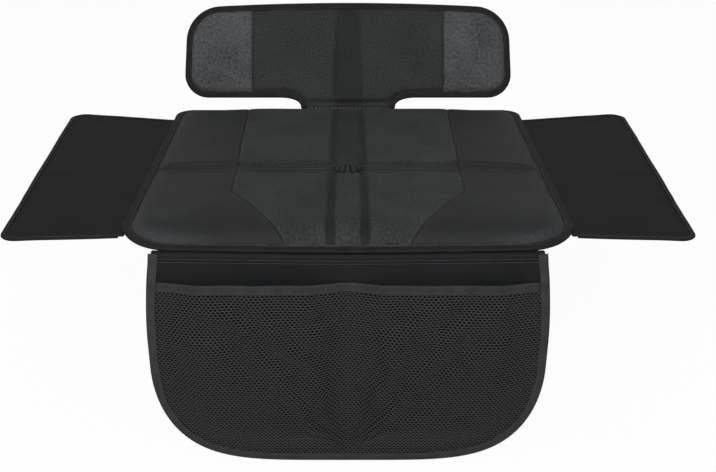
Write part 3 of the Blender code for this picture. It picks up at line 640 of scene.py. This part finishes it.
# %% The folded section
def fold_section(width, slot):
    """Points as (in from the fold, up), round the tape's own thickness."""
    total = slot + 2 * TAPE
    round_off = np.linspace(-pi / 2, -3 * pi / 2, 7)
    leaf = np.array([1, 0.88, 0.80, 0.72, 0.60, 0.35]) * width
    dimple = np.array([0, 0.3, 1, 0.3, 0, 0]) * 0.00025
    outer = [*zip(leaf, dimple)]
    outer += [(total / 2 * (1 + cos(a)), total / 2 * (1 + sin(a))) for a in round_off]
    outer += [*zip(leaf[::-1], total - dimple[::-1])]
    middle = total / 2
    inner = [(width, total - TAPE), (middle, total - TAPE), (TAPE, middle), (middle, TAPE), (width, TAPE)]
    return np.array(outer + inner)


# %% Carrying it along an edge
TAPE_STEP = 0.0035


def flat_on(place):
    """The tape reaches inward in the sheet, and its leaves lie over and under it."""
    return lambda path, left, depth, up: place(*(path + left * depth[:, None]).T, up)


def bind(name, outline, fold, width, slot, node_name, closed=False, seed=1, ribbon=shaded_tape):
    """Fold a tape over an edge, close its ends, and sew it; fold lays its section."""
    path = evened(outline, TAPE_STEP, closed)
    left = inward(path, closed)
    section = fold_section(width, slot)
    runs, ring = len(path) - (not closed), len(section)
    tape = new_sheet(name, runs, ring)
    u, v = (points_of(tape)[:, :2] + 0.5).T
    i, k = np.rint(u * runs).astype(int) % len(path), np.rint(v * ring).astype(int) % ring
    depth, up = section[k].T
    depth = depth * (1 + 0.025 * ripple(*path[i].T, 0.045, seed))
    up = up + 0.00012 * ripple(*path[i].T, 0.03, seed + 1) * (depth > 0.3 * width)
    length = len(path) * TAPE_STEP
    flat = np.stack([u * length, v * 2 * width], axis=1)
    finish_sheet(tape, fold(path[i], left[i], depth, up), flat)
    bpy.ops.object.mode_set(mode="EDIT")
    bpy.ops.mesh.select_all(action="SELECT")
    bpy.ops.mesh.remove_doubles(threshold=0.000001)
    bpy.ops.mesh.fill_holes(sides=0)
    bpy.ops.mesh.normals_make_consistent(inside=False)
    bpy.ops.object.mode_set(mode="OBJECT")
    dress(tape, ribbon, "binding_tape", node_name)
    top = slot + 2 * TAPE
    again = np.r_[path, path[:1]] if closed else path
    again_left = np.r_[left, left[:1]] if closed else left
    seam_depth = np.full(len(again), 0.8 * width)
    line = fold(again, again_left, seam_depth, np.full(len(again), top - 0.00010))
    lifted = fold(again, again_left, seam_depth, np.full(len(again), top + 0.001))
    sew(name + "_thread", [(line, lifted)], "binding_tape")
    print(name, round(length, 2), "m long")
    return tape


# %% Round the pad
def on_pad_edge(x, y, up):
    return stack(x, y, PAD_TAPE_LEVEL + up - droop(x, y))


bind(
    "pad_tape", both_sides(pad_side()), flat_on(on_pad_edge), PAD_TAPE,
    2 * CLOTH + 3 * GAP, "pad_binding", closed=True, seed=11,
)

# %% [markdown]
# ## Under the pad
#
# The underside keeps the mat from sliding, so it has a grip coat: a cloth with rows of small
# rubber dots. It isn't in the picture, but the part is looked at from below too.

# %% The grip coat
GRIP_DOTS = 170.0  # to a metre
grip, tree, shader = new_material("grip coat")
place = node(tree, "ShaderNodeUVMap").outputs[0]
cells = node(tree, "ShaderNodeTexVoronoi", Vector=place, Scale=GRIP_DOTS, Randomness=0.0)
dot = node(
    tree, "ShaderNodeMapRange", {"interpolation_type": "SMOOTHSTEP"},
    i0=cells.outputs["Distance"], i1=0.36, i2=0.28,
)
colour = node(
    tree, "ShaderNodeMix", {"data_type": "RGBA"},
    i0=dot.outputs[0], i6=(0.030, 0.030, 0.032, 1), i7=(0.012, 0.012, 0.013, 1),
)
relief = node(tree, "ShaderNodeBump", Strength=0.6, Distance=0.0004, Height=dot.outputs[0])
rough = node(tree, "ShaderNodeMix", {"data_type": "FLOAT"}, i0=dot.outputs[0], i2=0.85, i3=0.45)
tree.links.new(colour.outputs[2], shader.inputs["Base Color"])
tree.links.new(rough.outputs[0], shader.inputs["Roughness"])
tree.links.new(relief.outputs[0], shader.inputs["Normal"])
print("Grip dots every", round(1000 / GRIP_DOTS, 1), "mm")

# %% The sheet under the pad
under = new_sheet("pad_underside", 110, 100)
u, v = (points_of(under)[:, :2] + 0.5).T
y = between(-1, 1, v) * (PAD_END - TAPE - GAP)
x = between(-1, 1, u) * pad_reach(y, TAPE + GAP)
drop = 1 - smooth((edge_distance(x, y) - PAD_TAPE - GAP) / 0.003)
level = BASE_LEVEL * drop + CLOTH - droop(x, y)
finish_sheet(under, stack(x, y, level), np.stack([x, y], axis=1), CLOTH)
dress(under, grip, "grip_sheet", "pad_base_sheet")

# %% [markdown]
# ## The wings
#
# Each wing is a single layer of the same cloth, sewn under the pad's edge and bound on its
# three free sides. A single layer never lies dead flat, so it lifts a little here and there.


# %% A wing's outline
def rounded_corner(before, corner, after, radius, steps=14):
    corner = np.array(corner)
    to_before, to_after = [np.array(p) - corner for p in (before, after)]
    to_before, to_after = to_before / np.linalg.norm(to_before), to_after / np.linalg.norm(to_after)
    half = np.arccos(to_before @ to_after) / 2
    bisector = (to_before + to_after) / np.linalg.norm(to_before + to_after)
    middle = corner + bisector * radius / sin(half)
    start = corner + to_before * radius * cos(half) / sin(half) - middle
    turns = np.linspace(0, pi - 2 * half, steps)
    return np.stack(
        [middle[0] + start[0] * np.cos(turns) - start[1] * np.sin(turns),
         middle[1] + start[0] * np.sin(turns) + start[1] * np.cos(turns)], axis=1
    )


def wing_outline(tuck):
    """The right wing's free edges, from its front to its back, starting that far under the pad."""
    front_in = (pad_half(WING_ROOT_FRONT_Y) - tuck, WING_ROOT_FRONT_Y)
    back_in = (pad_half(WING_ROOT_BACK_Y) - tuck, WING_ROOT_BACK_Y)
    arcs = [
        rounded_corner(front_in, WING_FRONT, WING_BACK, WING_RADIUS),
        rounded_corner(WING_FRONT, WING_BACK, back_in, WING_RADIUS),
    ]
    return np.vstack([front_in, *arcs, back_in])


def wing_lift(x, y):
    """How far the cloth lies off the seat, more towards its free edges."""
    free = smooth((abs(x) - 0.26) / 0.10)
    return free * (0.0006 + 0.0004 * ripple(x, y, 0.16, 21) + 0.00012 * ripple(x, y, 0.05, 22))


# %% Both wings
for side, sign in (("left", -1), ("right", 1)):
    wing, flat = cut_sheet(side + "_wing_cloth", wing_outline(WING_TUCK))
    x, y = flat.T
    finish_sheet(wing, stack(x, y, WING_LEVEL + CLOTH + wing_lift(x, y)), flat, CLOTH)
    if sign < 0:
        put_points(wing, points_of(wing) * (-1, 1, 1))
        wing.data.flip_normals()
    dress(wing, lining, "oxford_cloth", side + "_wing")

    def on_wing(x, y, up, sign=sign):
        return stack(sign * x, y, up + wing_lift(x, y))

    tape = bind(
        side + "_wing_tape", wing_outline(0), flat_on(on_wing), WING_TAPE, CLOTH + 2 * GAP,
        side + "_wing_binding", seed=31,
    )

# %% [markdown]
# ## The panel against the backrest
#
# The panel leans back by 25 degrees and hangs on the pad by a neck, which bends forward and
# is sewn under it. The front is lightly padded in three parts, with a soft channel down the
# middle. All of it is laid by one rule that knows the bend.


# %% On the leaning plane
BEND_LENGTH = NECK_BEND * (pi / 2 - LEAN)


def on_back(x, up, out):
    """Up the panel from its foot, or, below 0, round the bend and under the pad."""
    out = out - CLOTH / 2
    turn = (pi / 2 - LEAN) * np.clip(1 + up / BEND_LENGTH, 0, 1)
    above, under = np.maximum(up, 0), np.minimum(up + BEND_LENGTH, 0)
    y = PAD_END + 3 * GAP + NECK_BEND * np.sin(turn) + above * sin(LEAN) + under
    z = WING_LEVEL + CLOTH / 2 + NECK_BEND * (1 - np.cos(turn)) + above * cos(LEAN)
    return stack(x, y - out * np.sin(turn), z + out * np.cos(turn))


def arc(middle, radii, start, steps=14):
    turn = start + np.linspace(0, pi / 2, steps)
    return np.stack([middle[0] + radii[0] * np.cos(turn), middle[1] + radii[1] * np.sin(turn)], axis=1)


def back_outline(start):
    """Across and up, from the neck's right side at start round to its left."""
    hollow = (NECK_HALF + NECK_FILLET[0], BACK_BOTTOM - NECK_FILLET[1])
    low = (BACK_HALF - BACK_LOW_RADIUS, BACK_BOTTOM + BACK_LOW_RADIUS)
    high_up = BACK_TOP - BACK_HIGH_RADIUS
    high_x = BACK_HALF - BACK_TAPER * (high_up - low[1]) - BACK_HIGH_RADIUS
    share = np.linspace(0.95, 0.05, 12)
    right = np.vstack([
        (NECK_HALF, start),
        arc(hollow, NECK_FILLET, pi / 2)[::-1],
        arc(low, (BACK_LOW_RADIUS,) * 2, -pi / 2),
        arc((high_x, high_up), (BACK_HIGH_RADIUS,) * 2, 0),
        np.stack([high_x * share, BACK_TOP + BACK_CROWN * (1 - share**2)], axis=1),
    ])
    return both_sides(right)


# %% Its grip sheet behind
rear, flat = cut_sheet("back_grip_sheet", back_outline(-NECK_TUCK))
finish_sheet(rear, on_back(*flat.T, CLOTH), flat, CLOTH)
dress(rear, grip, "grip_sheet", "back_rear_sheet")


# %% Its padded front
def back_channel(x, up):
    """1 in the soft channel down the panel's middle, wider at its foot, 0 outside it."""
    half = between(0.0210, 0.0165, smooth(up / BACK_TOP))
    return 1 - smooth((abs(x) - half + 0.004) / 0.008)


def back_front(x, up):
    """How far the front stands out from the rear sheet's back."""
    outline = evened(back_outline(NECK_START), 0.004)
    edge = inside_by(np.stack([x, up], axis=1), outline) - BACK_TAPE - GAP
    pad = between(CLOTH, BACK_PAD, rolled_rise(edge / BACK_ROLL))
    soft = smooth(edge / 0.02)
    pad = pad - 0.0030 * back_channel(x, up) * soft
    off_seam = abs(x) - BACK_SEAM_X
    pad = pad - 0.0013 * bell(off_seam, 0.0022) * smooth(edge / 0.004)
    pucker = np.sin(2 * pi * up / 0.012 + 2 * ripple(x, up, 0.06, 43))
    pad = pad + 0.00025 * pucker * bell(off_seam, 0.012) * soft
    pad = pad + soft * (0.0008 * ripple(x, up, 0.12, 41) + 0.0002 * ripple(x, up, 0.04, 42))
    return CLOTH + GAP + pad


for name, start, end, cloth, node_name, rests_in in (
    ("back_middle", -BACK_SEAM_X, BACK_SEAM_X, oxford, "back_centre_panel", "oxford_cloth"),
    ("back_left", -BACK_HALF, -BACK_SEAM_X, lit_side_cloth, "back_left_panel", "side_cloth"),
    ("back_right", BACK_SEAM_X, BACK_HALF, lit_side_cloth, "back_right_panel", "side_cloth"),
):
    part, flat = cut_sheet(name, back_outline(NECK_START), pitch=0.002, low_x=start, high_x=end)
    # Painted shade in the panel's middle channel.
    paint_shade_and_sheen(part, 0.7 * back_channel(*flat.T))
    finish_sheet(part, on_back(*flat.T, back_front(*flat.T)), flat, 0.8 * CLOTH)
    dress(part, cloth, rests_in, node_name)
    print(name, len(part.data.polygons), "faces")

# %% Its tape
bind(
    "back_tape", back_outline(NECK_START), flat_on(lambda x, up, out: on_back(x, up, out - TAPE - GAP)),
    BACK_TAPE, 2 * CLOTH + 3 * GAP, "back_binding", seed=51,
)

# %% [markdown]
# ## The flap
#
# The flap hangs down from the pad's front edge, as a cloth does over a seat's front.
# It is one layer, widest at its middle and round at its foot.


# %% On the hanging cloth
FLAP_ARC = FLAP_BEND * pi / 2


def on_flap(x, drop, out):
    """Down the flap from its bend, or, below 0, round the bend and under the pad."""
    turn = pi / 2 * np.clip(1 + drop / FLAP_ARC, 0, 1)
    below, under = np.maximum(drop, 0), np.minimum(drop + FLAP_ARC, 0)
    y = -PAD_END - FLAP_BEND * np.sin(turn) - under - FLAP_LEAN * below
    z = WING_LEVEL + CLOTH / 2 - FLAP_BEND * (1 - np.cos(turn)) - below
    z = z - droop(x, -PAD_END - under) * (1 - smooth(below / 0.030))
    out = out + CLOTH / 2
    return stack(x, y - out * np.sin(turn), z + out * np.cos(turn))


def flap_half(drop):
    widening = between(FLAP_TOP_HALF, FLAP_HALF, smooth(0.5 + drop / FLAP_SHOULDER / 2) * 2 - 1)
    share = np.clip((drop - FLAP_STRAIGHT) / (FLAP_DROP - FLAP_STRAIGHT), 0, 1)
    return np.where(drop < FLAP_SHOULDER, widening, FLAP_HALF * (1 - share**2) ** (1 / FLAP_ROUNDNESS))


def flap_outline(start):
    """Across and height, from the left edge at start round the foot to the right."""
    drops = np.r_[start, np.linspace(max(start, 0.004), FLAP_STRAIGHT, 30)[1:]]
    turn = np.linspace(0, pi / 2, 60)[1:]
    foot = FLAP_STRAIGHT + (FLAP_DROP - FLAP_STRAIGHT) * np.sin(turn)
    foot_halves = FLAP_HALF * np.maximum(np.cos(turn), 0) ** (2 / FLAP_ROUNDNESS)
    halves = np.r_[flap_half(np.maximum(drops, 0)), foot_halves]
    drops = np.r_[drops, foot]
    left = np.stack([-halves, -drops], axis=1)
    return np.vstack([left, left[::-1] * (-1, 1)])


def flap_edge(x, drop):
    """How far a place on the flap lies inside its outline."""
    outline = evened(flap_outline(-0.03), 0.003)
    return inside_by(np.stack([x, -drop], axis=1), outline)


# %% The flap's cloth
flap, flat = cut_sheet("flap_cloth", flap_outline(-FLAP_TUCK))
x, drop = flat[:, 0], -flat[:, 1]
slack = smooth(drop / 0.03) * smooth(flap_edge(x, drop) / 0.02)
wave = -0.0002 + slack * 0.0003 * ripple(x, drop, 0.08, 61)
finish_sheet(flap, on_flap(x, drop, wave), flat, CLOTH)
dress(flap, lining, "oxford_cloth", "flap_panel")


# %% Its tape
def on_flap_tape(x, height, out):
    """The tape is thinner above the pockets, where it holds the flap alone."""
    thin = between(0.55, 1.0, smooth((-height - 0.018) / 0.012))
    return on_flap(x, -height, out * thin - CLOTH - GAP - TAPE)


flap_tape = bind(
    "flap_tape", flap_outline(-FLAP_TAPE_TUCK), flat_on(on_flap_tape), FLAP_TAPE,
    CLOTH + TAPE + 2 * GAP + NET + 2 * GAP, "flap_binding", seed=71, ribbon=binding_tape,
)

# %% [markdown]
# ## The pocket nets
#
# The nets are knitted, with rows of small six-sided holes, and they are slack: they stand
# out from the flap and are gathered where the middle seam meets the foot. Each net is a sheet
# of six-sided cells, laid on the slack shape, and the Wireframe modifier turns the edges of
# the cells into yarn.


# %% The shape of the slack nets
def net_out(x, drop):
    """How far the net's middle stands out from the flap's face."""
    inner = np.maximum(drop, NET_TOP + HEM_HEIGHT)
    room = np.minimum(abs(x), flap_edge(x, inner) - FLAP_TAPE - GAP)
    depth = between(MOUTH_DEPTH, POCKET_DEPTH, smooth((inner - NET_TOP - HEM_HEIGHT) / 0.06))
    fan = np.arctan2(abs(x), FLAP_DROP - 0.012 - drop)
    folds = np.sin(fan * 22 + 1.5 * ripple(x, drop, 0.09, 81))
    folds = folds * smooth(fan / 0.15) * smooth((1.1 - fan) / 0.5)
    waves = ripple(x, drop, 0.07, 82)
    slack = 0.0019 * folds * smooth(room / 0.03) + 0.0008 * waves * smooth(room / 0.04)
    slack = slack * smooth((drop - NET_TOP) / 0.03)
    return TAPE + 2 * GAP + NET / 2 + depth * smooth(room / POCKET_ROLL) + slack


# %% The cells of one net
CELL, ROW, YARN = 0.0046, 0.0029, 0.0015


def net_places(steps):
    """Across and down the net, from steps of half a cell and a sixth of a row."""
    return np.array([(i * CELL / 2, NET_TOP + 0.003 + j * ROW / 6) for i, j in steps])


def net_cells():
    """Corners of the right net's cells, across and down, and the cells themselves."""
    corners, cells = {}, []
    shape = ((0, -4), (1, -2), (1, 2), (0, 4), (-1, 2), (-1, -2))
    centres = [
        (2 * column + 1 + row % 2, 6 * row)
        for row in range(int((FLAP_DROP - NET_TOP) / ROW))
        for column in range(int(FLAP_HALF / CELL) + 1)
    ]
    kept = flap_edge(*net_places(centres).T) > 0.55 * FLAP_TAPE
    for (i, j), keep in zip(centres, kept):
        if keep:
            cells.append([corners.setdefault((i + a, j + b), len(corners)) for a, b in shape])
    return net_places(corners), cells


# %% Both nets
places, cells = net_cells()
for side, sign in (("left", -1), ("right", 1)):
    x, drop = sign * places[:, 0], places[:, 1]
    mesh = bpy.data.meshes.new(side + "_net")
    faces = [cell[::sign] for cell in cells]
    mesh.from_pydata(on_flap(x, drop, net_out(x, drop)), [], faces)
    net = bpy.data.objects.new(side + "_net", mesh)
    bpy.context.scene.collection.objects.link(net)
    make_active(net)
    yarn = net.modifiers.new("yarn", "WIREFRAME")
    yarn.thickness, yarn.use_even_offset, yarn.use_relative_offset = YARN, True, False
    yarn.use_boundary = True
    bpy.ops.object.modifier_apply(modifier=yarn.name)
    bpy.ops.object.shade_smooth()
    dress(net, net_yarn, "pocket_mesh", side + "_pocket_net")
    print(net.name, len(cells), "holes,", len(net.data.polygons), "faces")

# %% The hem along their top
across = np.linspace(-1, 1, 121) * (flap_half(NET_TOP) - FLAP_TAPE - GAP)
mouth = np.stack([across, net_out(across, np.full(121, NET_TOP + HEM_HEIGHT))], axis=1)
middle = NET / 2 + GAP + TAPE


def over_the_net(path, left, depth, up):
    """The hem's tape reaches down the net, and its leaves lie before and behind it."""
    x, out = (path + left * (up - middle)[:, None]).T
    return on_flap(x, NET_TOP - TAPE - GAP + depth, out)


bind(
    "pocket_hem_tape", mouth, over_the_net, HEM_HEIGHT, NET + 2 * GAP, "pocket_hem", seed=91,
    ribbon=binding_tape,
)

# %% [markdown]
# ## The covered button
#
# Where the channels cross, a round button holds the layers together. It is covered in the
# same cloth, drawn in behind it, so its edge is puckered all round. It starts as Blender's
# sphere, flattened, and its points are then moved in pleats.

# %% The button
bpy.ops.object.select_all(action="DESELECT")
bpy.ops.mesh.primitive_uv_sphere_add(segments=96, ring_count=28, radius=1)
button = bpy.context.object
button.name = button.data.name = "covered_button"
a, b, c = points_of(button).T
turn = np.arctan2(b, a)
pleat = 0.5 + 0.5 * np.cos(BUTTON_PLEATS * turn + 0.5 * np.sin(3 * turn))
rim = np.clip(np.hypot(a, b), 0, 1)
radius = BUTTON_RADIUS * (1 - 0.09 * (1 - pleat) * rim)
swell = np.where(c > 0, np.abs(c) ** 0.8, -0.3 * np.abs(c)) - 0.30 * bell(rim, 0.24)
drawn_in = (1 - pleat) * smooth((rim - 0.25) / 0.3) * (c > 0)
level = PAD_HEIGHT - FOLD_DEPTH + 0.0025 + 0.0085 * swell - 0.0022 * drawn_in
# Painted shade between the pleats and in the button's middle dimple.
paint_shade_and_sheen(button, np.clip(1.6 * drawn_in + bell(rim, 0.28), 0, 1.6))
put_points(button, stack(radius * a, FOLD_Y + radius * b, level))
keep_flat_places(button, np.stack([radius * a, radius * b], axis=1))
bpy.ops.object.shade_smooth()
dress(button, oxford, "oxford_cloth", "centre_button")
print("Button", round(2000 * BUTTON_RADIUS), "mm across")

# %% [markdown]
# ## Top stitching
#
# The last thread: beside the pad's seams, across its fold, up the panel's seams, and down
# between the pockets. Each line is laid on the same rule as the cloth that it is sewn in.


# %% Lines on the pad
def on_pad(x, y):
    """A line on the covers, and the same line lifted off them."""
    x, y = np.broadcast_arrays(x, y)
    return stack(x, y, pad_top(x, y) + 0.0001), stack(x, y, pad_top(x, y) + 0.0011)


ends = np.linspace(-PAD_END + 0.014, PAD_END - 0.014, 200)
pad_lines = [
    on_pad(sign * (seam_x(ends) + aside), ends) for aside in (STITCH_ASIDE, -0.0022) for sign in (-1, 1)
]
for offset in QUILT_LINES:
    for start, end in ((-0.222, -0.017), (0.017, 0.222)):
        pad_lines.append(on_pad(np.linspace(start, end, 120), FOLD_Y + offset))
sew("pad_thread", pad_lines, "oxford_cloth")

# %% The coarse thread along the pad's front edge
across = np.linspace(-PAD_FRONT_HALF + PAD_FRONT_RADIUS, PAD_FRONT_HALF - PAD_FRONT_RADIUS, 160)
edge_lines = [
    on_pad(across, -PAD_END + PAD_TAPE + inset + 0.0004 * ripple(across, across, 0.02, seed))
    for inset, seed in ((0.0002, 101), (0.0010, 102), (0.0018, 103))
]
sew(
    "pad_front_thread", edge_lines, "oxford_cloth", length=0.0022, step=0.0026, thick=0.0005, wander=0.0004
)

# %% Lines on the back panel
ups = np.linspace(BACK_BOTTOM + BACK_TAPE, BACK_TOP - BACK_TAPE, 60)
back_lines = []
for sign in (-1, 1):
    x = np.full(60, sign * (BACK_SEAM_X + 0.0020))
    out = back_front(x, ups)
    back_lines.append((on_back(x, ups, out + 0.0001), on_back(x, ups, out + 0.0011)))
sew("back_thread", back_lines, "side_cloth", thick=0.0004)

# %% The seam between the pockets, and the flap's hinge
drops = np.linspace(NET_TOP + HEM_HEIGHT, FLAP_DROP - FLAP_TAPE, 90)
middle_line = np.zeros(90)
out = net_out(middle_line, drops) + 0.0009
flap_lines = [(on_flap(middle_line, drops, out), on_flap(middle_line, drops, out + 0.001))]
wide = np.linspace(-0.192, 0.192, 150)
for drop in (0.0035, 0.0075):
    level = np.full(150, drop)
    flap_lines.append((on_flap(wide, level, 0.0002), on_flap(wide, level, 0.0012)))
sew("flap_thread", flap_lines, "oxford_cloth")

# %% [markdown]
# ## Floor and light
#
# A white floor and white surroundings, with broad soft lamps from above and in front, as in a
# studio. The surroundings look white to the camera but light the mat only as much as the
# lamps need, so that the black cloth keeps its shadows.

# %% The floor
FLOOR_LEVEL = -0.262
bpy.ops.object.select_all(action="DESELECT")
bpy.ops.mesh.primitive_plane_add(size=30, location=(0, 0, FLOOR_LEVEL))
floor = bpy.context.object
floor.name = "floor"
white, tree, shader = new_material("white floor")
shader.inputs["Base Color"].default_value = (0.6, 0.6, 0.6, 1)
shader.inputs["Roughness"].default_value = 0.9
glow = node(tree, "ShaderNodeEmission", Color=(1, 1, 1, 1), Strength=1.06)
seen = node(tree, "ShaderNodeLightPath").outputs["Is Camera Ray"]
share = maths(tree, "MULTIPLY", seen, 0.9)
both = node(tree, "ShaderNodeMixShader", i0=share, i1=shader.outputs[0], i2=glow.outputs[0])
tree.links.new(both.outputs[0], tree.nodes["Material Output"].inputs["Surface"])
floor.data.materials.append(white)

# %% The surroundings
world = bpy.data.worlds.new("studio")
bpy.context.scene.world = world
world.use_nodes = True
tree = world.node_tree
rays = node(tree, "ShaderNodeLightPath").outputs
seen = maths(tree, "MAXIMUM", rays["Is Camera Ray"], rays["Is Transmission Ray"])
strength = node(tree, "ShaderNodeMix", {"data_type": "FLOAT"}, i0=seen, i2=0.26, i3=1.0).outputs[0]
sky = tree.nodes["Background"]
sky.inputs["Color"].default_value = (1, 1, 1, 1)
tree.links.new(strength, sky.inputs["Strength"])


# %% The lamps
def lamp(name, place, size, power):
    """A round lamp that faces the middle of the pad."""
    data = bpy.data.lights.new(name, "AREA")
    data.shape, data.size, data.energy = "DISK", size, power
    light = bpy.data.objects.new(name, data)
    light.location = place
    light.rotation_euler = (-Vector(place)).to_track_quat("-Z", "Y").to_euler()
    bpy.context.scene.collection.objects.link(light)


lamp("soft lamp in front", (-0.2, -1.8, 1.2), size=0.9, power=26)
lamp("soft lamp above", (0.3, 0.4, 1.9), size=1.2, power=2)
bpy.context.scene.view_settings.view_transform = "Standard"
